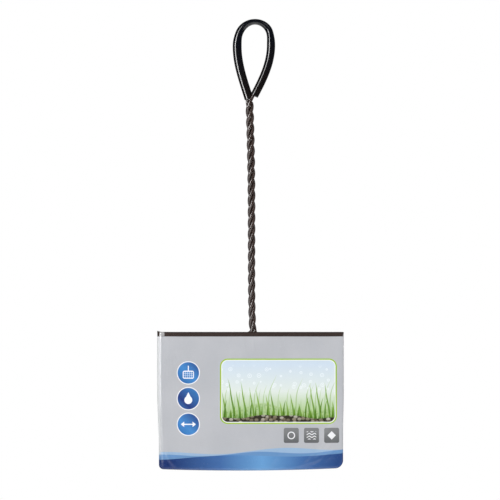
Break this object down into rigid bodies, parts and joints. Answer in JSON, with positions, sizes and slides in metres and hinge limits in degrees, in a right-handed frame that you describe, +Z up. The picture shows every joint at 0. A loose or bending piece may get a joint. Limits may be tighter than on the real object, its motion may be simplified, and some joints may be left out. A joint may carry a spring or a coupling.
{
  "type": "aquarium fish net",
  "caption": "Flat aquarium hand net hung by a twisted wire stem, its soft mesh bag folded inside a rectangular hoop and covered by an open-topped printed film sleeve.",
  "frame": {"origin": "hang point: the underside of the loop's crown, where a peg carries the net", "axes": "+Z up along the stem, +X to the right and +Y to the back, seen from the printed front"},
  "size_m": [0.203, 0.0118, 0.4913],
  "materials": {
    "coated_wire": "steel wire with a smooth dark brown-black plastic coat",
    "vinyl_tube": "soft glossy black vinyl",
    "binding_tape": "plain woven tape, dark green",
    "mesh": "soft knitted mesh, pale green",
    "printed_film": "thin printed film with a clear gloss"
  },
  "bodies": {
    "net": {"frame_wire": "coated_wire", "grip_tube": "vinyl_tube", "rim_binding": "binding_tape", "net_bag": "mesh"},
    "sleeve": {"sleeve": "printed_film"}
  },
  "joints": [
    {"name": "sleeve_slide", "type": "slide", "parent": "net", "child": "sleeve", "axis": [0, 0, -1], "range_m": [0, 0.15]}
  ]
}
